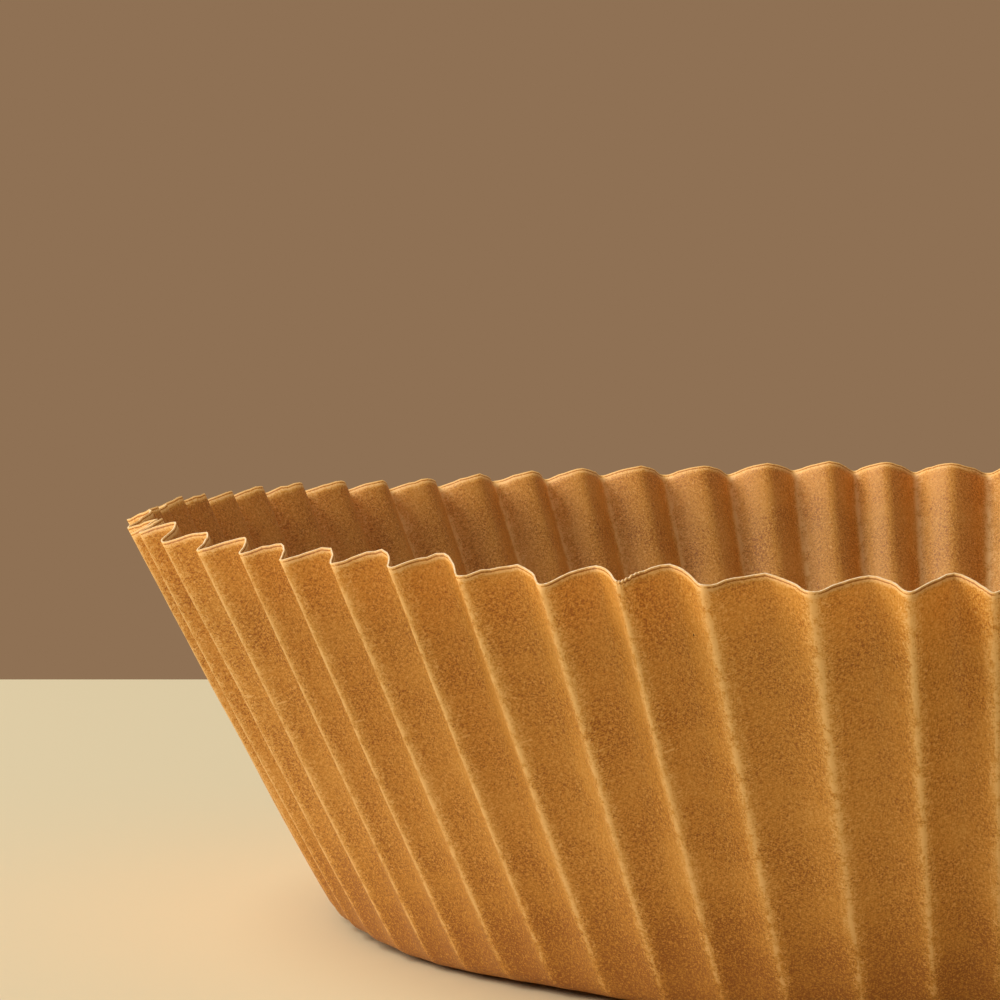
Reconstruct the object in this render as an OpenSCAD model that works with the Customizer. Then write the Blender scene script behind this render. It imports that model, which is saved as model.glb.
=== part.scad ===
/* [Liner] */
// Diameter of the flat base, up to where the paper starts to bend
base_d = 151; // [120:1:180]
// Diameter of the rim, halfway between the ridges and the valleys
rim_d = 197; // [184:1:240]
// Height of the rim above the table, halfway between ridges and valleys
rim_h = 44; // [30:0.5:60]
// Inside radius of the bend between the base and the wall
bend_r = 2.5; // [0.8:0.1:4]

/* [Paper] */
// Thickness of the pressed greaseproof paper
paper_t = 0.15; // [0.1:0.01:0.3]
// Colour of the unbleached paper
paper_colour = "#c88f4d"; // [#c88f4d, #e8dcc4, #f4f1ea]

/* [Flutes] */
// Number of flutes around the wall
flute_n = 72; // [48:4:80]
// How much tighter the ridges are folded than the valleys, 0 for alike
ridge_pinch = 0.15; // [0:0.01:0.24]

/* [Hidden] */

// Mesh of the paper: steps around one flute, and the share of the straight
// wall at which the flutes get one ring of points of their own
flute_steps = 8;
lower_wall = 0.25;
ring_n = flute_n * flute_steps;

// The paper's middle in section: a flat base, an arc, and a straight wall
// that leaves the arc as a tangent and ends at the rim
base_r = base_d / 2;
mid_r = bend_r + paper_t / 2;
to_rim = [rim_d / 2 - base_r, rim_h - paper_t / 2 - mid_r];
wall_angle = atan2(to_rim.y, to_rim.x) + asin(mid_r / norm(to_rim));
bend_len = mid_r * wall_angle * PI / 180;
wall_len = sqrt(norm(to_rim) ^ 2 - mid_r ^ 2);
paper_len = bend_len + wall_len;

// Distances along the paper, from the edge of the flat base out to the rim
stations = [0, bend_len / 2, bend_len, bend_len + lower_wall * wall_len, paper_len];

// The section at distance s along the paper: radius, height, and slope in degrees
function bend_point(a) = [base_r + mid_r * sin(a), paper_t / 2 + mid_r * (1 - cos(a)), a];
function wall_point(s) = bend_point(wall_angle) + s * [cos(wall_angle), sin(wall_angle), 0];
function section(s) = s < bend_len ? bend_point(s / mid_r * 180 / PI) : wall_point(s - bend_len);

// The flat disc's circumference over the cup's, at distance s: what the flutes
// have to take up, since pressed paper folds and doesn't stretch
function fullness(s) = max(1, (base_r + s) / section(s)[0]);

// Half the depth of a flute whose wavy length comes to that, from its mean slope
function flute_depth(s) =
    section(s)[0] / flute_n * sqrt(2 * (fullness(s) ^ 2 - 1) / (1 + 4 * ridge_pinch ^ 2));

// One flute over a full turn of its phase: 0 is the ridge and 180 the valley
function flute_wave(phase) = cos(phase) + ridge_pinch * cos(2 * phase);

// A point of the paper's middle, pushed square to the section by its flute
function sheet(s, turn) =
    let (
        at = section(s),
        push = flute_depth(s) * flute_wave(turn * flute_n),
        r = at[0] + push * sin(at[2]),
        z = at[1] - push * cos(at[2])
    )
    [r * cos(turn), r * sin(turn), z];

// The direction out of the cup, square to the fluted paper
function outward(s, turn, e = 0.01) =
    s <= e ? [0, 0, -1] :
    let (
        around = sheet(s, turn + e) - sheet(s, turn - e),
        along = sheet(s, turn) - sheet(s - e, turn),
        n = cross(around, along)
    )
    n / norm(n);

// One ring of points on a side of the paper: 1 is the outside and -1 the inside
function ring(s, side) = [
    for (i = [0 : ring_n - 1])
    let (turn = 360 * i / ring_n)
    sheet(s, turn) + side * paper_t / 2 * outward(s, turn)
];

// Up the outside from base to rim, over the cut edge, and down the inside
function skin_rings() = concat(
    [for (s = stations) ring(s, 1)],
    [for (k = [len(stations) - 1 : -1 : 0]) ring(stations[k], -1)]
);

// The pressed cup as one closed skin, its two sides closed at the base's centre
module fluted_cup() {
    rings = skin_rings();
    last = len(rings) - 1;
    points = concat([[0, 0, 0]], [for (r = rings, p = r) p], [[0, 0, paper_t]]);
    function at(k, i) = 1 + k * ring_n + i % ring_n;
    faces = concat(
        [for (i = [0 : ring_n - 1]) [0, at(0, i), at(0, i + 1)]],
        [
            for (k = [0 : last - 1], i = [0 : ring_n - 1], half = [0, 1])
            half == 0
                ? [at(k, i), at(k + 1, i), at(k + 1, i + 1)]
                : [at(k, i), at(k + 1, i + 1), at(k, i + 1)]
        ],
        [for (i = [0 : ring_n - 1]) [len(points) - 1, at(last, i + 1), at(last, i)]]
    );
    polyhedron(points = points, faces = faces, convexity = 12);
}

module liner() {
    color(paper_colour) fluted_cup();
}

liner();
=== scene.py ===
"""A fluted air fryer liner of unbleached greaseproof paper, on a pale tabletop."""
import math

import bpy
import numpy as np
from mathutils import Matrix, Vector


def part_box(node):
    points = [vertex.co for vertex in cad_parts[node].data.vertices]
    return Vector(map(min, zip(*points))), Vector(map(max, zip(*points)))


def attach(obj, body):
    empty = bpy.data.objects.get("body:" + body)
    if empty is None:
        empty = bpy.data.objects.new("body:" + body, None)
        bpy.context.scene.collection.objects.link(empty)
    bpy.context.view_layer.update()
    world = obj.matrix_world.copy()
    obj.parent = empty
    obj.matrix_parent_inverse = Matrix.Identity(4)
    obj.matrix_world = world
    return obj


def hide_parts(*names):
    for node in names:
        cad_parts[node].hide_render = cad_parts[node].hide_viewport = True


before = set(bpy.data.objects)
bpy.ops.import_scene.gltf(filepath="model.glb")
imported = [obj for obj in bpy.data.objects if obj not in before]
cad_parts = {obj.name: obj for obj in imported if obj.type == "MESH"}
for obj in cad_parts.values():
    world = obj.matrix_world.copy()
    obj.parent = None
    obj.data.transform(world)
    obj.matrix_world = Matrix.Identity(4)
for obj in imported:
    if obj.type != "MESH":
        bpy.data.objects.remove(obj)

bl_info = {
    "name": "Pressed Paper Liner",
    "version": (1, 0, 0),
    "blender": (4, 5, 0),
    "location": "View3D > Sidebar > Liner",
    "description": "Makes a fluted greaseproof paper liner and the table it stands on",
    "category": "Add Mesh",
}

MM = 0.001
TURN = 2 * math.pi
SOLID_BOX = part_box("liner")
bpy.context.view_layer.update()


def linear(code):
    """RGBA for a shader from an sRGB hex value such as #c88f4d."""
    srgb = [int(code[i : i + 2], 16) / 255 for i in (1, 3, 5)]
    return [c / 12.92 if c <= 0.04045 else ((c + 0.055) / 1.055) ** 2.4 for c in srgb] + [1]


# Sizes and colours


class LinerSizes(bpy.types.PropertyGroup):
    """The pressed cup, with the same driving sizes as its solid."""

    base_d: bpy.props.FloatProperty(
        name="Base diameter",
        description="Diameter of the flat base, up to where the paper starts to bend",
        default=151 * MM,
        unit="LENGTH",
    )
    rim_d: bpy.props.FloatProperty(
        name="Rim diameter",
        description="Diameter of the rim, halfway between the ridges and the valleys",
        default=197 * MM,
        unit="LENGTH",
    )
    rim_h: bpy.props.FloatProperty(
        name="Rim height",
        description="Height of the rim above the table, halfway between ridges and valleys",
        default=44 * MM,
        unit="LENGTH",
    )
    bend_r: bpy.props.FloatProperty(
        name="Bend radius",
        description="Inside radius of the bend between the base and the wall",
        default=2.5 * MM,
        unit="LENGTH",
    )
    paper_t: bpy.props.FloatProperty(
        name="Paper thickness",
        description="Thickness of the pressed paper",
        default=0.15 * MM,
        unit="LENGTH",
    )
    flutes: bpy.props.IntProperty(
        name="Flutes",
        description="Number of flutes around the wall",
        default=72,
        min=48,
        max=80,
    )
    ridge_pinch: bpy.props.FloatProperty(
        name="Ridge pinch",
        description="How much tighter the ridges are folded than the valleys",
        default=0.15,
        min=0,
        max=0.24,
    )
    crease: bpy.props.FloatProperty(
        name="Crease",
        description="How flat the flutes' sides are: 0 for a round wave, 0.11 for a zigzag",
        default=0.09,
        min=0,
        max=0.11,
    )


class LinerWear(bpy.types.PropertyGroup):
    """What pressing, stacking and handling did to the paper."""

    seed: bpy.props.IntProperty(
        name="Seed",
        description="Picks one of the many ways in which the flutes may stray",
        default=18030,
    )
    stray: bpy.props.FloatProperty(
        name="Stray of the flutes",
        description="How far a ridge stands aside at the rim, as a share of a flute",
        default=0.07,
        subtype="FACTOR",
    )
    uneven: bpy.props.FloatProperty(
        name="Uneven depth",
        description="How much deeper or flatter than its neighbours a flute is",
        default=0.06,
        subtype="FACTOR",
    )
    sway: bpy.props.FloatProperty(
        name="Sway of the rim",
        description="How far the limp wall leans in or out at the rim",
        default=0.3 * MM,
        unit="LENGTH",
    )
    crinkle: bpy.props.FloatProperty(
        name="Crinkle",
        description="Height of the slack waves that pressing left in the wall",
        default=0.03 * MM,
        unit="LENGTH",
    )
    lift: bpy.props.FloatProperty(
        name="Lift of the edge",
        description="How far the slack base stands off the table at its edge",
        default=0.5 * MM,
        unit="LENGTH",
    )
    over: bpy.props.FloatProperty(
        name="Over-length",
        description="How much further than the nominal rim the paper reaches",
        default=0.3 * MM,
        unit="LENGTH",
    )
    ragged: bpy.props.FloatProperty(
        name="Ragged rim",
        description="How far the die's cut strays along the rim",
        default=0.04 * MM,
        unit="LENGTH",
    )


class PaperColours(bpy.types.PropertyGroup):
    """Colours of the unbleached paper and of the stage."""

    ground: bpy.props.FloatVectorProperty(
        name="Ground",
        description="The paper's main brown",
        default=linear("#d49539"),
        size=4,
        subtype="COLOR",
    )
    # The deep colour also paints the shade at the bend and under the cut
    deep: bpy.props.FloatVectorProperty(
        name="Deep",
        description="Dense, darker spots of pulp",
        default=linear("#a0601e"),
        size=4,
        subtype="COLOR",
    )
    # The pale colour also paints the highlight along the ridges
    pale: bpy.props.FloatVectorProperty(
        name="Pale",
        description="Thin spots and loosened fibres",
        default=linear("#f0be74"),
        size=4,
        subtype="COLOR",
    )
    # Painted glow: added under the rim for light that shines through the paper there
    painted_rim_glow: bpy.props.FloatVectorProperty(
        name="Warm",
        description="What the last millimetres under the rim are warmer by",
        default=linear("#5f3200"),
        size=4,
        subtype="COLOR",
    )
    edge: bpy.props.FloatVectorProperty(
        name="Edge",
        description="Fluffed fibres where the paper was cut",
        default=linear("#f6d9b0"),
        size=4,
        subtype="COLOR",
    )
    bark: bpy.props.FloatVectorProperty(
        name="Bark",
        description="Specks of bark left in the pulp",
        default=linear("#33190a"),
        size=4,
        subtype="COLOR",
    )
    table: bpy.props.FloatVectorProperty(
        name="Table",
        description="The pale tabletop",
        default=linear("#ddcba2"),
        size=4,
        subtype="COLOR",
    )
    backdrop: bpy.props.FloatVectorProperty(
        name="Backdrop",
        description="What the camera sees behind the table",
        default=linear("#8f7154"),
        size=4,
        subtype="COLOR",
    )


class CameraPlace(bpy.types.PropertyGroup):
    """Where the photograph was taken from."""

    distance: bpy.props.FloatProperty(
        name="Distance",
        description="From the middle of the liner, along the table",
        default=467.7 * MM,
        unit="LENGTH",
    )
    height: bpy.props.FloatProperty(
        name="Height",
        description="Height of the lens above the table",
        default=73.3 * MM,
        unit="LENGTH",
    )
    bearing: bpy.props.FloatProperty(
        name="Bearing",
        description="How far the camera stands round to the right of -Y",
        default=math.radians(1.33),
        subtype="ANGLE",
    )
    aside: bpy.props.FloatProperty(
        name="Aside",
        description="How far to the left of the liner's middle it looks",
        default=math.radians(7.23),
        subtype="ANGLE",
    )
    down: bpy.props.FloatProperty(
        name="Down",
        description="How far down it looks",
        default=math.radians(3.40),
        subtype="ANGLE",
    )
    lens: bpy.props.FloatProperty(
        name="Lens",
        description="Focal length in millimetres, for a sensor 36 mm wide",
        default=150.3,
    )


# The pressed paper, worked out from its flat blank

# Marks on the wall, by flutes round from +X and by distance along the paper
NICK_FLUTE = 50.09
NICK_HALF = 0.11
NICK_DEPTH = 0.09 * MM
NICK_COLUMNS = 36  # columns of the mesh over the nick and just beside it
DENT_FLUTE = 50.74
DENT_ALONG = 20.5 * MM
DENT_HALF = (0.16, 3 * MM)  # in flutes round, and along
DENT_DEPTH = 0.3 * MM

# Reach of the cut's stray and of the base's lift, inward from the rim and from the edge
CUT_REACH = 5 * MM
LIFT_REACH = 45 * MM
SLOW_STRAY = 0.2 * MM  # how far the cut strays in long, slow waves


def blank_lengths(sizes):
    """Slope of the wall, and the lengths of paper in the bend and in the wall.

    The paper's middle in section is a flat, an arc, and a straight line that leaves the
    arc as a tangent and ends at the rim. So the slope is that of a line from the arc's
    foot to the rim, plus the angle whose sine is the arc's radius over that line."""
    mid_r = sizes.bend_r + sizes.paper_t / 2
    across = (sizes.rim_d - sizes.base_d) / 2
    up = sizes.rim_h - sizes.paper_t / 2 - mid_r
    slope = math.atan2(up, across) + math.asin(mid_r / math.hypot(across, up))
    return slope, mid_r * slope, math.sqrt(across**2 + up**2 - mid_r**2)


def section(sizes, along):
    """Radius, height and slope of the paper's middle, at distances along the paper.

    Distances count from the edge of the flat base and are negative on the base. There
    the radius is the base's plus the distance; round the bend both turn with the slope;
    on the wall they grow by the slope's cosine and sine."""
    wall_slope, bend, _ = blank_lengths(sizes)
    mid_r = sizes.bend_r + sizes.paper_t / 2
    slope = np.clip(along, 0, bend) / mid_r
    flat = np.minimum(along, 0)
    wall = np.maximum(along - bend, 0)
    radius = sizes.base_d / 2 + flat + mid_r * np.sin(slope) + wall * math.cos(wall_slope)
    height = sizes.paper_t / 2 + mid_r * (1 - np.cos(slope)) + wall * math.sin(wall_slope)
    return radius, height, slope


def flute_depth(sizes, along):
    """Half the depth of a flute, at distances along the paper.

    Pressed paper folds and doesn't stretch, so the flutes take up what the flat disc's
    circumference has over the cup's. A shallow wave is longer than its chord by half
    its mean squared slope, and that gives its depth."""
    radius, _, _ = section(sizes, along)
    fullness = np.maximum(1, (sizes.base_d / 2 + along) / radius)
    shape = 1 + 4 * sizes.ridge_pinch**2 + 9 * sizes.crease**2
    slope_squared = 2 * (fullness**2 - 1) / shape
    return radius / sizes.flutes * np.sqrt(slope_squared)


def flute_wave(sizes, phase):
    """A flute's height over its phase: a cosine, plus a share of one twice as fast that
    pinches the ridge at phase 0 and spreads the valley at half a turn, plus a share of
    one three times as fast that flattens the sides."""
    pinched = np.cos(phase) + sizes.ridge_pinch * np.cos(2 * phase)
    return pinched + sizes.crease * np.cos(3 * phase)


def wander(turn, seed, slowest, fastest):
    """Smooth random wander round the liner, with a root mean square of 1.

    A sum of cosines, each with a whole number of waves a turn so that the rim closes."""
    draw = np.random.default_rng(seed)
    waves = np.arange(slowest, fastest + 1)
    start = draw.uniform(0, TURN, waves.size)
    size = draw.normal(1, 0.3, waves.size)
    total = (size * np.cos(np.multiply.outer(turn, waves) + start)).sum(-1)
    return total / math.sqrt((size**2).sum() / 2)


def slack(turn, along, seed, count=60):
    """Smooth random waves over the wall, with a root mean square of about 1.

    A sum of cosines, each with 20 to 140 waves a turn, and each 15 to 60 mm long along
    the paper, because the flutes stiffen it that way."""
    draw = np.random.default_rng(seed)
    total = np.zeros(np.broadcast_shapes(turn.shape, along.shape))
    for _ in range(count):
        waves = draw.integers(20, 140)
        pace = draw.choice([-1, 1]) * TURN / draw.uniform(15 * MM, 60 * MM)
        total += np.cos(waves * turn + pace * along + draw.uniform(0, TURN))
    return total / math.sqrt(count / 2)


def smooth_step(low, high, value):
    """0 below low and 1 above high, with an even S-shaped curve between them."""
    share = np.clip((value - low) / (high - low), 0, 1)
    return share * share * (3 - 2 * share)


def rows_along(sizes):
    """Distances along the paper of the mesh's rows, from near the base's middle to the rim.

    Few rows on the flat base, and more round the bend and towards the rim."""
    _, bend, wall = blank_lengths(sizes)
    base = sizes.base_d / 2 * (np.array([0.3, 0.6, 0.8, 0.9, 0.96]) - 1)
    curve = np.linspace(0, bend, 6)
    share = np.linspace(0, 1, 29)[1:]
    straight = bend + wall * (share + 0.35 * share * (1 - share))
    return np.concatenate([base, curve, straight])


def columns_round(sizes, per_flute=16, crowding=0.5):
    """Phases of the mesh's columns, a whole turn of phase to a flute.

    The phase lags an even step by a share of its sine, so that columns crowd together
    over the tight ridges. The nick has more of its own."""
    even = TURN * np.arange(sizes.flutes * per_flute) / per_flute
    nick = TURN * (NICK_FLUTE + NICK_HALF * np.linspace(-1.2, 1.2, NICK_COLUMNS))
    return np.union1d(even - crowding * np.sin(even), nick)


def middle_of_paper(sizes, wear, phase, along):
    """Points on the paper's middle, rows by columns.

    Each point starts on the section, turned round to its flute, and is pushed square to
    the section by the flute's wave, by the sway of the wall and by its slack waves."""
    phase, along = phase[None, :], along[:, None]
    flute = phase / TURN
    turn = phase / sizes.flutes
    _, bend, wall = blank_lengths(sizes)
    rim = bend + wall
    up = np.clip((along - bend) / wall, 0, 1)

    # The paper reaches past the nominal rim, its cut strays a little, and one nick is
    # torn out of it
    cut = wear.over + wear.ragged * wander(turn, wear.seed + 1, 100, 500)
    cut = cut + SLOW_STRAY * wander(turn, wear.seed + 2, 3, 30)
    torn = np.exp(-(((flute - NICK_FLUTE) / NICK_HALF) ** 6))
    cut = cut - torn * NICK_DEPTH * (1 + 0.6 * wander(turn, wear.seed + 3, 900, 3000))
    along = along + smooth_step(rim - CUT_REACH, rim, along) * cut

    radius, height, slope = section(sizes, along)
    depth = flute_depth(sizes, along) * (1 + wear.uneven * wander(turn, wear.seed + 4, 5, 50))
    push = depth * flute_wave(sizes, phase)
    push = push + wear.sway * up * wander(turn, wear.seed + 5, 2, 6)
    push = push + wear.crinkle * smooth_step(0, 0.3, up) * slack(turn, along, wear.seed + 6)
    dent = ((flute - DENT_FLUTE) / DENT_HALF[0]) ** 2 + ((along - DENT_ALONG) / DENT_HALF[1]) ** 2
    push = push - DENT_DEPTH * np.exp(-dent)
    aside = wear.stray * TURN / sizes.flutes * wander(turn, wear.seed, 3, 24)
    turn = turn + aside * (0.5 + 0.5 * up)
    lift = wear.lift * (1 + 0.3 * wander(turn, wear.seed + 7, 2, 12))
    lift = np.maximum(lift, 0) * smooth_step(-LIFT_REACH, 0, along) * (1 - up)
    out = radius + push * np.sin(slope)
    level = height - push * np.cos(slope) + lift
    return np.stack([out * np.cos(turn), out * np.sin(turn), level], -1)


def out_of_cup(points):
    """Unit directions out of the cup, at rows of points that close round it.

    The cross product of the differences round the ring and along the paper."""
    around = np.roll(points, -1, axis=1) - np.roll(points, 1, axis=1)
    square = np.cross(around, np.gradient(points, axis=0))
    return square / np.linalg.norm(square, axis=-1, keepdims=True)


def skin_of_paper(sizes, wear):
    """The paper as one closed skin: its points, its faces, the two sets of coordinates
    of their corners, and which faces lie on the cut edge.

    Rows run from the base's middle up the outside to the rim, over the cut edge and
    back down the inside, half a thickness to each side of the paper's middle."""
    along = rows_along(sizes)
    phase = columns_round(sizes)
    middle = middle_of_paper(sizes, wear, phase, along)
    away = out_of_cup(middle) * sizes.paper_t / 2
    outside, inside = middle + away, middle - away
    outside[..., 2] = np.maximum(outside[..., 2], 0)
    skin = np.concatenate([outside, inside[::-1]])
    rows, columns = skin.shape[:2]
    under, over = [[0, 0, 0]], [[0, 0, sizes.paper_t]]
    points = np.concatenate([under, skin.reshape(-1, 3), over])

    # The four corners of each face by row and column, and a fan of threes at each pole
    row, column = np.meshgrid(np.arange(rows - 1), np.arange(columns), indexing="ij")
    row = np.stack([row, row + 1, row + 1, row], -1).reshape(-1, 4)
    column = np.stack([column, column, column + 1, column + 1], -1).reshape(-1, 4)
    step = np.stack([np.arange(columns), np.arange(columns) + 1], -1)
    back = step[:, ::-1]
    faces = [
        np.insert(1 + step % columns, 0, 0, axis=1),
        1 + row * columns + column % columns,
        np.insert(1 + (rows - 1) * columns + back % columns, 0, len(points) - 1, axis=1),
    ]

    # Where a corner lies on the flat disc, and its flute and distance in the press
    along = np.concatenate([along, along[::-1]])[:, None]
    flute = np.append(phase / TURN, sizes.flutes + phase[0] / TURN)[None, :]
    turn = flute * TURN / sizes.flutes
    reach = sizes.base_d / 2 + along
    disc = np.stack([reach * np.cos(turn), reach * np.sin(turn)], -1) / MM
    press = np.stack(np.broadcast_arrays(flute, along / MM), -1)
    disc_pole = np.zeros((columns, 1, 2))
    press_pole = np.stack([flute[0, step].mean(1), np.full(columns, -reach[0, 0] / MM)], -1)
    corners = {
        name: [
            np.concatenate([pole, grid[0, step]], axis=1),
            grid[row, column],
            np.concatenate([pole, grid[-1, back]], axis=1),
        ]
        for name, grid, pole in (("disc", disc, disc_pole), ("press", press, press_pole[:, None]))
    }
    cut = np.repeat(np.arange(rows + 1) == rows // 2, columns)
    return points, faces, corners, cut


def check_fit(points):
    """Raises unless the points stay in the solid's box, give or take 3% of each side."""
    low, high = np.array(SOLID_BOX)
    spare = 0.03 * (high - low)
    if (points.min(0) < low - spare).any() or (points.max(0) > high + spare).any():
        raise ValueError("The paper leaves the box of its solid")


def mesh_of(name, points, faces, corners, cut):
    """A mesh from arrays. Its cut faces stay flat and take the second material."""
    mesh = bpy.data.meshes.new(name)
    mesh.from_pydata(points.tolist(), [], [face for block in faces for face in block.tolist()])
    for key, blocks in corners.items():
        layer = mesh.uv_layers.new(name=key)
        layer.data.foreach_set("uv", np.concatenate([block.reshape(-1) for block in blocks]))
    mesh.polygons.foreach_set("use_smooth", ~cut)
    mesh.polygons.foreach_set("material_index", cut.astype(np.int32))
    mesh.update()
    return mesh


# Materials


def add(tree, kind, inputs=(), **settings):
    """Adds a node to the tree. Its inputs are given by name or number, each as a value
    to set or as a socket to link from, and the other settings as attributes."""
    node = tree.nodes.new(kind)
    for key, value in settings.items():
        setattr(node, key, value)
    for key, value in dict(inputs).items():
        if isinstance(value, bpy.types.NodeSocket):
            tree.links.new(value, node.inputs[key])
        else:
            node.inputs[key].default_value = value
    return node


def new_material(name):
    """A material with an empty node tree, and that tree."""
    material = bpy.data.materials.new(name)
    material.use_nodes = True
    material.node_tree.nodes.clear()
    return material, material.node_tree


# Real sizes of the paper's pattern, in mm
FORMATION = 6.0  # across a cloud of dense or thin pulp
STROKE = (0.14, 0.45)  # width and length of the short fibres that make the grain
FLECK = 1.6  # between the light flecks along a fold
CURL = 0.8  # across the curl of one long fibre
BARK_GAP = 11.0  # between specks of bark
BARK_HALF = (0.09, 0.15)  # from a speck's middle to where it starts to fade, and to its end
FLUTE_PITCH = 8.2  # from ridge to ridge at the step line
STEP_ALONG = 31.6  # along to the line that a step in the press left round the wall
STEP_STRAY = 0.7  # how far above or below that line a tick may lie
TICK_LONG = (0.35, 0.5)  # from a tick's middle to where it starts to fade, and to its end
TICK_WIDE = (0.06, 0.14)  # the same across the tick
FOLD_RISE = 7.0  # how far up from the base's edge a fold comes to its full strength
FOOT_SHADE = (1.0, 15.0)  # from the bend's middle to where its painted shade fades, and to its end
BEND_ALONG = 2.0  # along to the bend's middle
PAINTED_GLOW_REACH = 8.0  # how far down from the rim the painted glow reaches
# Lines under the cut, a thin dark one of them painted shade: mm below it, and the tone there,
# where 0.5 is that of plain paper
RIM_LINES = ((0, 1), (0.12, 0.9), (0.18, 0.2), (0.28, 0.2), (0.34, 0.85), (0.5, 0.75), (0.7, 0.5))
FOLD_WAVER = 0.3  # how far a fold wavers to and fro over its ridge, in radians of phase

# The same for the patterns on Object coordinates, which are in metres
FLUFF = 0.3 * MM  # across a tuft of loose fibres on the cut
STIPPLE = 3 * MM  # between the dimples that a roller leaves in paint


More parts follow.
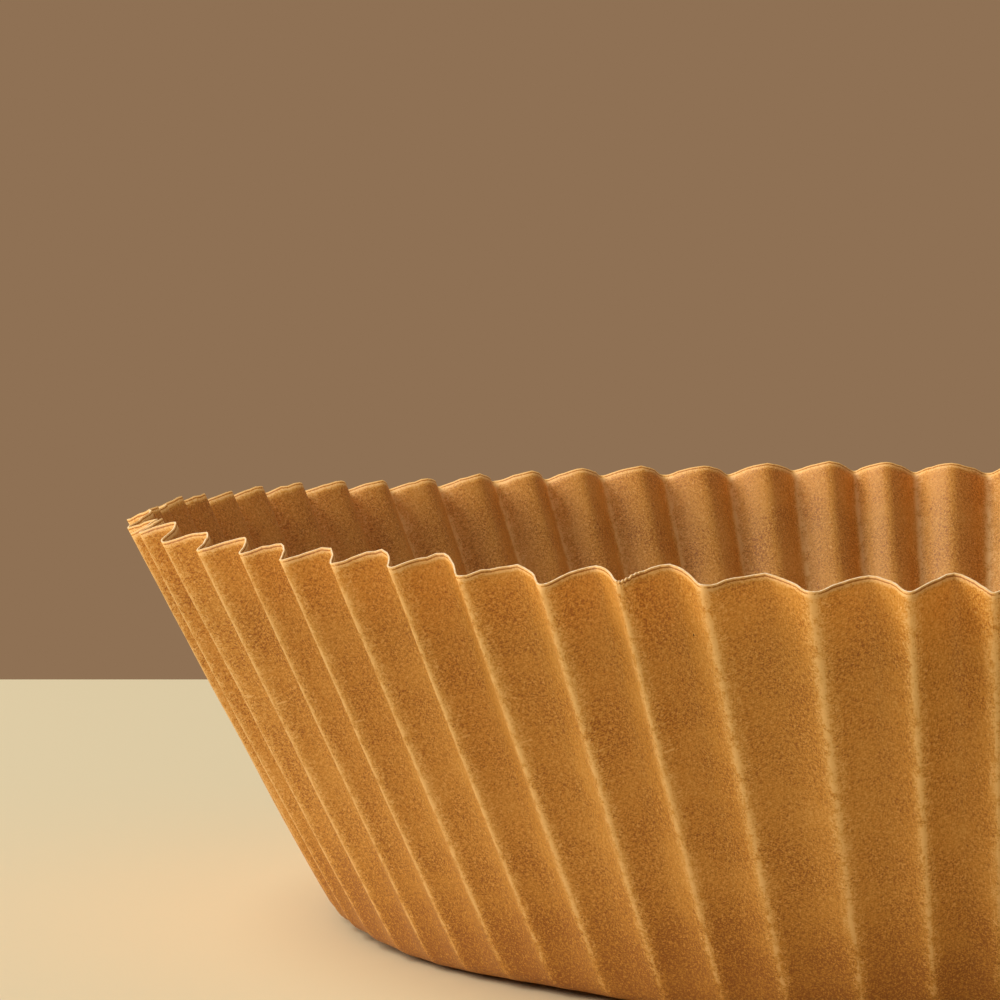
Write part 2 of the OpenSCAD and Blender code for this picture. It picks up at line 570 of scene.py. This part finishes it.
def unbleached_greaseproof(colours, rim):
    """Unbleached greaseproof paper, calendered and then pressed between warm dies.

    Hard beaten brown pulp gives a dense sheet with faint clouds, a fine speckle of
    fibres and a few specks of bark. Calendering leaves a faint sheen. Folding loosens
    pale fibres along the ridges, with painted highlight there as well, a thin line of
    painted shade lies just under the cut, and a step in the press leaves a pale tick
    beside each ridge. Painted shade darkens both sides of the bend, and a painted glow
    warms the last millimetres under the rim, for light shining through the paper there."""
    material, tree = new_material("unbleached_greaseproof")
    disc = add(tree, "ShaderNodeUVMap", uv_map="disc").outputs["UV"]
    press = add(tree, "ShaderNodeUVMap", uv_map="press").outputs["UV"]
    press = add(tree, "ShaderNodeSeparateXYZ", {0: press}).outputs
    flute, along = press["X"], press["Y"]

    cloud = add(
        tree,
        "ShaderNodeTexNoise",
        {"Vector": disc, "Scale": 1 / FORMATION, "Detail": 4, "Roughness": 0.65},
    ).outputs["Fac"]
    # Short fibres lie every way: three fine noises, each stretched its own way, add up to
    # a speckle whose mean is 0.5
    speckle = 0.5 - 3 * 0.5
    for way in (0, TURN / 6, TURN / 3):
        lie = add(
            tree,
            "ShaderNodeMapping",
            {"Vector": disc, "Rotation": (0, 0, way), "Scale": (*STROKE, 1)},
            vector_type="TEXTURE",
        ).outputs["Vector"]
        stroke = add(
            tree,
            "ShaderNodeTexNoise",
            {"Vector": lie, "Scale": 1, "Detail": 2, "Roughness": 0.6},
            noise_dimensions="2D",
        ).outputs["Fac"]
        speckle = add(tree, "ShaderNodeMath", {0: stroke, 1: speckle}, operation="ADD").outputs[0]
    fleck = add(
        tree,
        "ShaderNodeTexNoise",
        {"Vector": disc, "Scale": 1 / FLECK, "Detail": 3, "Roughness": 0.7},
        noise_dimensions="2D",
    ).outputs["Fac"]
    curl = add(
        tree,
        "ShaderNodeTexNoise",
        {"Vector": disc, "Scale": 1 / CURL, "Detail": 2, "Distortion": 1.5},
    ).outputs["Fac"]
    # A long fibre shows where the curled noise crosses its middle value
    fibre = add(tree, "ShaderNodeMath", {0: curl, 1: 0.5}, operation="SUBTRACT").outputs[0]
    fibre = add(tree, "ShaderNodeMath", {0: fibre}, operation="ABSOLUTE").outputs[0]
    fibre = add(
        tree, "ShaderNodeMapRange", {"Value": fibre, "From Max": 0.03, "To Min": 1, "To Max": 0}
    ).outputs["Result"]

    # The fold of a ridge wavers a little, comes and goes in flecks, and fades out at the
    # bend, and fibres come loose in a wider band beside it. Both are partly loosened fibres
    # and partly painted highlight, where the ridges catch the light
    phase = add(tree, "ShaderNodeMath", {0: flute, 1: TURN}, operation="MULTIPLY").outputs[0]
    phase = add(
        tree, "ShaderNodeMath", {0: fleck, 1: FOLD_WAVER, 2: phase}, operation="MULTIPLY_ADD"
    ).outputs[0]
    phase = add(
        tree, "ShaderNodeMath", {0: phase, 1: FOLD_WAVER / 2}, operation="SUBTRACT"
    ).outputs[0]
    wave = add(tree, "ShaderNodeMath", {0: phase}, operation="COSINE").outputs[0]
    pressed = add(
        tree, "ShaderNodeMapRange", {"Value": along, "From Min": 0, "From Max": FOLD_RISE}
    ).outputs["Result"]
    wear_and_highlight = add(
        tree,
        "ShaderNodeMapRange",
        {"Value": fleck, "From Min": 0.35, "From Max": 0.65, "To Min": 0.3, "To Max": 1.6},
    ).outputs["Result"]
    wear_and_highlight = add(tree, "ShaderNodeMath", {0: wear_and_highlight, 1: pressed}, operation="MULTIPLY").outputs[0]
    fold_and_highlight = add(
        tree, "ShaderNodeMapRange", {"Value": wave, "From Min": 0.86, "From Max": 1.0}
    ).outputs["Result"]
    fold_and_highlight = add(tree, "ShaderNodeMath", {0: fold_and_highlight, 1: 5}, operation="POWER").outputs[0]
    fold_and_highlight = add(tree, "ShaderNodeMath", {0: fold_and_highlight, 1: wear_and_highlight}, operation="MULTIPLY").outputs[0]
    band_and_highlight = add(
        tree, "ShaderNodeMapRange", {"Value": wave, "From Min": 0.6, "From Max": 0.95}
    ).outputs["Result"]
    band_and_highlight = add(tree, "ShaderNodeMath", {0: band_and_highlight, 1: wear_and_highlight}, operation="MULTIPLY").outputs[0]
    loose = add(tree, "ShaderNodeMath", {0: band_and_highlight, 1: fibre}, operation="MULTIPLY").outputs[0]

    # The tick of the press, a tenth of a flute to the right of each ridge
    number = add(tree, "ShaderNodeMath", {0: flute, 1: 0.5}, operation="ADD").outputs[0]
    beside = add(tree, "ShaderNodeMath", {0: number}, operation="FRACT").outputs[0]
    beside = add(tree, "ShaderNodeMath", {0: beside, 1: 0.6}, operation="SUBTRACT").outputs[0]
    beside = add(tree, "ShaderNodeMath", {0: beside}, operation="ABSOLUTE").outputs[0]
    beside = add(
        tree,
        "ShaderNodeMapRange",
        {
            "Value": beside,
            "From Min": TICK_LONG[0] / FLUTE_PITCH,
            "From Max": TICK_LONG[1] / FLUTE_PITCH,
            "To Min": 1,
            "To Max": 0,
        },
    ).outputs["Result"]
    number = add(tree, "ShaderNodeMath", {0: number}, operation="FLOOR").outputs[0]
    chance = add(
        tree, "ShaderNodeTexWhiteNoise", {"W": number}, noise_dimensions="1D"
    ).outputs["Value"]
    level = add(
        tree,
        "ShaderNodeMath",
        {0: chance, 1: 2 * STEP_STRAY, 2: STEP_ALONG - STEP_STRAY},
        operation="MULTIPLY_ADD",
    ).outputs[0]
    level = add(tree, "ShaderNodeMath", {0: along, 1: level}, operation="SUBTRACT").outputs[0]
    level = add(tree, "ShaderNodeMath", {0: level}, operation="ABSOLUTE").outputs[0]
    level = add(
        tree,
        "ShaderNodeMapRange",
        {
            "Value": level,
            "From Min": TICK_WIDE[0],
            "From Max": TICK_WIDE[1],
            "To Min": 1,
            "To Max": 0,
        },
    ).outputs["Result"]
    tick = add(tree, "ShaderNodeMath", {0: beside, 1: level}, operation="MULTIPLY").outputs[0]
    tick = add(tree, "ShaderNodeMath", {0: tick, 1: chance}, operation="MULTIPLY").outputs[0]

    # Painted shade: just under the cut a thin dark line, with paler paper on both sides, as the
    # shaded gap between two close edges
    deepest = RIM_LINES[-1][0]
    under = add(
        tree, "ShaderNodeMapRange", {"Value": along, "From Min": rim, "From Max": rim - deepest}
    ).outputs["Result"]
    rim_line_shade = add(tree, "ShaderNodeValToRGB", {"Fac": under})
    stops = rim_line_shade.color_ramp.elements
    for depth, tone in RIM_LINES[1:-1]:
        stops.new(depth / deepest).color = (tone, tone, tone, 1)
    for stop, (_, tone) in zip((stops[0], stops[-1]), (RIM_LINES[0], RIM_LINES[-1])):
        stop.color = (tone, tone, tone, 1)

    # Painted shade: a little darker on both sides of the bend, for the shade at the wall's foot
    bend = add(tree, "ShaderNodeMath", {0: along, 1: BEND_ALONG}, operation="SUBTRACT").outputs[0]
    bend = add(tree, "ShaderNodeMath", {0: bend}, operation="ABSOLUTE").outputs[0]
    bend = add(
        tree,
        "ShaderNodeMapRange",
        {"Value": bend, "From Min": FOOT_SHADE[0], "From Max": FOOT_SHADE[1], "To Min": 1, "To Max": 0},
    ).outputs["Result"]

    # The speckle is strong in some patches and faint in others
    patch = add(
        tree,
        "ShaderNodeMapRange",
        {"Value": cloud, "From Min": 0.4, "From Max": 0.6, "To Min": 0.95, "To Max": 0.6},
    ).outputs["Result"]
    grain = add(tree, "ShaderNodeMath", {0: speckle, 1: 0.5}, operation="SUBTRACT").outputs[0]
    grain = add(tree, "ShaderNodeMath", {0: grain, 1: patch}, operation="MULTIPLY").outputs[0]

    # Each of these moves the tone up or down from its middle
    tone = add(
        tree, "ShaderNodeMath", {0: cloud, 1: 0.5, 2: 0.5 - 0.25}, operation="MULTIPLY_ADD"
    ).outputs[0]
    for share, amount, middle in (
        (grain, 1, 0),
        (fibre, 0.12, 0.3),
        (fold_and_highlight, 0.36, 0),
        (band_and_highlight, 0.1, 0),
        # the bend's darkening is painted shade
        (bend, -0.26, 0),
        (loose, 0.4, 0),
        (tick, 0.6, 0),
        (rim_line_shade.outputs["Color"], 1.2, 0.5),
    ):
        tone = add(
            tree, "ShaderNodeMath", {0: share, 1: amount, 2: tone}, operation="MULTIPLY_ADD"
        ).outputs[0]
        tone = add(
            tree, "ShaderNodeMath", {0: tone, 1: amount * middle}, operation="SUBTRACT"
        ).outputs[0]
    ramp = add(tree, "ShaderNodeValToRGB", {"Fac": tone})
    ramp.color_ramp.elements[0].position = 0.15
    ramp.color_ramp.elements[0].color = colours.deep
    ramp.color_ramp.elements[1].position = 0.95
    ramp.color_ramp.elements[1].color = colours.pale
    ramp.color_ramp.elements.new(0.52).color = colours.ground

    # Painted glow: the paper is made warmer towards the rim, for light that shines through
    # it there. Inputs 6 and 7 and output 2 of a Mix node are its colours
    glow = add(
        tree, "ShaderNodeMapRange", {"Value": along, "From Min": rim - PAINTED_GLOW_REACH, "From Max": rim}
    ).outputs["Result"]
    colour = add(
        tree,
        "ShaderNodeMix",
        {0: glow, 6: ramp.outputs["Color"], 7: colours.painted_rim_glow},
        data_type="RGBA",
        blend_type="ADD",
    ).outputs[2]

    # Specks of bark, at most one to a cell and only in some of the cells
    cells = add(tree, "ShaderNodeTexVoronoi", {"Vector": disc, "Scale": 1 / BARK_GAP}).outputs
    bark = add(
        tree,
        "ShaderNodeMapRange",
        {
            "Value": cells["Distance"],
            "From Min": BARK_HALF[0] / BARK_GAP,
            "From Max": BARK_HALF[1] / BARK_GAP,
            "To Min": 1,
            "To Max": 0,
        },
    ).outputs["Result"]
    some = add(tree, "ShaderNodeSeparateColor", {0: cells["Color"]}).outputs["Red"]
    some = add(tree, "ShaderNodeMath", {0: some, 1: 0.6}, operation="GREATER_THAN").outputs[0]
    bark = add(tree, "ShaderNodeMath", {0: bark, 1: some}, operation="MULTIPLY").outputs[0]
    colour = add(
        tree, "ShaderNodeMix", {0: bark, 6: colour, 7: colours.bark}, data_type="RGBA"
    ).outputs[2]

    relief = add(
        tree, "ShaderNodeMath", {0: fibre, 1: 0.4, 2: speckle}, operation="MULTIPLY_ADD"
    ).outputs[0]
    relief = add(
        tree, "ShaderNodeBump", {"Height": relief, "Distance": 0.01 * MM, "Strength": 1}
    ).outputs["Normal"]
    gloss = add(
        tree, "ShaderNodeMapRange", {"Value": speckle, "To Min": 0.5, "To Max": 0.68}
    ).outputs["Result"]
    shader = add(
        tree,
        "ShaderNodeBsdfPrincipled",
        {"Base Color": colour, "Roughness": gloss, "Normal": relief, "IOR": 1.45},
    )
    add(tree, "ShaderNodeOutputMaterial", {"Surface": shader.outputs[0]})
    return material


def cut_fibre_edge(colours):
    """The same paper where the die cut it: fluffed fibres, paler and duller than its
    calendered faces."""
    material, tree = new_material("cut_fibre_edge")
    place = add(tree, "ShaderNodeTexCoord").outputs["Object"]
    fluff = add(
        tree, "ShaderNodeTexNoise", {"Vector": place, "Scale": 1 / FLUFF, "Detail": 3}
    ).outputs["Fac"]
    ramp = add(tree, "ShaderNodeValToRGB", {"Fac": fluff})
    ramp.color_ramp.elements[0].position = 0.3
    ramp.color_ramp.elements[0].color = colours.pale
    ramp.color_ramp.elements[1].position = 0.65
    ramp.color_ramp.elements[1].color = colours.edge
    shader = add(
        tree, "ShaderNodeBsdfPrincipled", {"Base Color": ramp.outputs["Color"], "Roughness": 0.9}
    )
    add(tree, "ShaderNodeOutputMaterial", {"Surface": shader.outputs[0]})
    return material


def rolled_matte_paint(colours):
    """Matte cream paint, rolled onto a board: even, with a stipple that barely shows."""
    material, tree = new_material("rolled_matte_paint")
    place = add(tree, "ShaderNodeTexCoord").outputs["Object"]
    stipple = add(
        tree, "ShaderNodeTexNoise", {"Vector": place, "Scale": 1 / STIPPLE, "Detail": 2}
    ).outputs["Fac"]
    bump = add(
        tree, "ShaderNodeBump", {"Height": stipple, "Distance": 0.01 * MM}
    ).outputs["Normal"]
    shader = add(
        tree,
        "ShaderNodeBsdfPrincipled",
        {"Base Color": colours.table, "Roughness": 0.8, "Normal": bump},
    )
    add(tree, "ShaderNodeOutputMaterial", {"Surface": shader.outputs[0]})
    return material


# The stage

TABLE_BEHIND = 252 * MM  # from the liner's middle to the table's far edge
TABLE_SIDE = 1.1
TABLE_THICK = 25 * MM

# Each lamp: round to the left of -Y, up from the table, distance, width, and glow.
# A glow or a sky of 1, square on, shows a colour as it is written.
LAMPS = {
    "window": (math.radians(72), math.radians(35), 2.5, 1.5, 0.7),
    "ceiling": (math.radians(95), math.radians(58), 2.5, 1.5, 0.48),
}
SKY = 0.25


def lay_table(scene, heading):
    """A tabletop at height 0, with its far edge square to the camera's heading.

    Its corners are a box's, turned round Z by that heading."""
    half = TABLE_SIDE / 2
    near, far = TABLE_BEHIND - TABLE_SIDE, TABLE_BEHIND
    flat = np.array([(-half, near), (half, near), (half, far), (-half, far)])
    cos, sin = math.cos(heading), math.sin(heading)
    flat = flat @ np.array([[cos, sin], [-sin, cos]])
    points = [(x, y, z) for z in (-TABLE_THICK, 0) for x, y in flat.tolist()]
    sides = [(i, (i + 1) % 4, 4 + (i + 1) % 4, 4 + i) for i in range(4)]
    mesh = bpy.data.meshes.new("tabletop")
    mesh.from_pydata(points, [], [(3, 2, 1, 0), (4, 5, 6, 7), *sides])
    mesh.materials.append(rolled_matte_paint(scene.liner_colours))
    table = bpy.data.objects.new("tabletop", mesh)
    scene.collection.objects.link(table)
    eased = table.modifiers.new("eased_edges", "BEVEL")
    eased.width = 2 * MM
    eased.segments = 3


def hang_lamps(scene):
    """Broad lamps that face the liner's middle. Their watts grow with distance squared."""
    for name, (turn, rise, distance, width, glow) in LAMPS.items():
        lamp = bpy.data.lights.new(name, "AREA")
        lamp.energy = glow * (math.pi * distance) ** 2
        lamp.size = width
        body = bpy.data.objects.new(name, lamp)
        level = distance * math.cos(rise)
        height = distance * math.sin(rise)
        body.location = (-level * math.sin(turn), -level * math.cos(turn), height)
        body.rotation_euler = (math.pi / 2 - rise, 0, -turn)
        body.visible_camera = False
        scene.collection.objects.link(body)


def light_surround(scene):
    """A world that lights evenly, and shows the plain backdrop to the camera."""
    world = bpy.data.worlds.new("surround")
    world.use_nodes = True
    tree = world.node_tree
    tree.nodes.clear()
    rays = add(tree, "ShaderNodeLightPath").outputs
    seen = add(
        tree,
        "ShaderNodeMath",
        {0: rays["Is Camera Ray"], 1: rays["Is Glossy Ray"]},
        operation="MAXIMUM",
    ).outputs[0]
    seen = add(
        tree, "ShaderNodeMath", {0: seen, 1: rays["Is Transmission Ray"]}, operation="MAXIMUM"
    ).outputs[0]
    sky = add(tree, "ShaderNodeBackground", {"Color": (1, 1, 1, 1), "Strength": SKY})
    backdrop = add(
        tree, "ShaderNodeBackground", {"Color": scene.liner_colours.backdrop, "Strength": 1}
    )
    both = add(tree, "ShaderNodeMixShader", {0: seen, 1: sky.outputs[0], 2: backdrop.outputs[0]})
    add(tree, "ShaderNodeOutputWorld", {"Surface": both.outputs[0]})
    scene.world = world


def aim_camera(scene, place, heading):
    """The camera stands at its bearing and distance, and looks aside and down."""
    camera = bpy.data.cameras.new("camera")
    camera.lens = place.lens
    camera.sensor_width = 36
    body = bpy.data.objects.new("camera", camera)
    away = place.distance
    body.location = (away * math.sin(place.bearing), -away * math.cos(place.bearing), place.height)
    body.rotation_euler = (math.pi / 2 - place.down, 0, heading)
    scene.collection.objects.link(body)
    scene.camera = body
    scene.view_settings.view_transform = "Standard"


# Operators


class LINER_OT_press(bpy.types.Operator):
    """Press the paper liner: a flat base, a small bend, and a flared and fluted wall"""

    bl_idname = "liner.press"
    bl_label = "Press the Liner"

    def execute(self, context):
        scene = context.scene
        sizes, colours = scene.liner_sizes, scene.liner_colours
        points, faces, corners, cut = skin_of_paper(sizes, scene.liner_wear)
        check_fit(points)
        mesh = mesh_of("paper_liner", points, faces, corners, cut)
        _, bend, wall = blank_lengths(sizes)
        mesh.materials.append(unbleached_greaseproof(colours, (bend + wall) / MM))
        mesh.materials.append(cut_fibre_edge(colours))
        liner = bpy.data.objects.new("paper_liner", mesh)
        scene.collection.objects.link(liner)
        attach(liner, "root")
        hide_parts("liner")
        return {"FINISHED"}


class LINER_OT_stage(bpy.types.Operator):
    """Set the stage: a pale tabletop, two broad lamps, a plain backdrop and the camera"""

    bl_idname = "liner.stage"
    bl_label = "Set the Stage"

    def execute(self, context):
        scene = context.scene
        place = scene.camera_place
        heading = place.bearing + place.aside
        lay_table(scene, heading)
        hang_lamps(scene)
        light_surround(scene)
        aim_camera(scene, place, heading)
        return {"FINISHED"}


class LINER_PT_panel(bpy.types.Panel):
    """Sizes, colours and steps of the liner"""

    bl_idname = "LINER_PT_panel"
    bl_label = "Pressed Paper Liner"
    bl_space_type = "VIEW_3D"
    bl_region_type = "UI"
    bl_category = "Liner"

    def draw(self, context):
        for name, group in GROUPS.items():
            box = self.layout.box()
            for key in group.__annotations__:
                box.prop(getattr(context.scene, name), key)
        for operator in OPERATORS:
            self.layout.operator(operator.bl_idname)


GROUPS = {
    "liner_sizes": LinerSizes,
    "liner_wear": LinerWear,
    "liner_colours": PaperColours,
    "camera_place": CameraPlace,
}
OPERATORS = (LINER_OT_press, LINER_OT_stage)
CLASSES = (*GROUPS.values(), *OPERATORS, LINER_PT_panel)


def register():
    for item in CLASSES:
        bpy.utils.register_class(item)
    for name, group in GROUPS.items():
        setattr(bpy.types.Scene, name, bpy.props.PointerProperty(type=group))


def unregister():
    for name in GROUPS:
        delattr(bpy.types.Scene, name)
    for item in reversed(CLASSES):
        bpy.utils.unregister_class(item)


def main():
    register()
    bpy.ops.liner.press()
    bpy.ops.liner.stage()


if __name__ == "__main__":
    main()
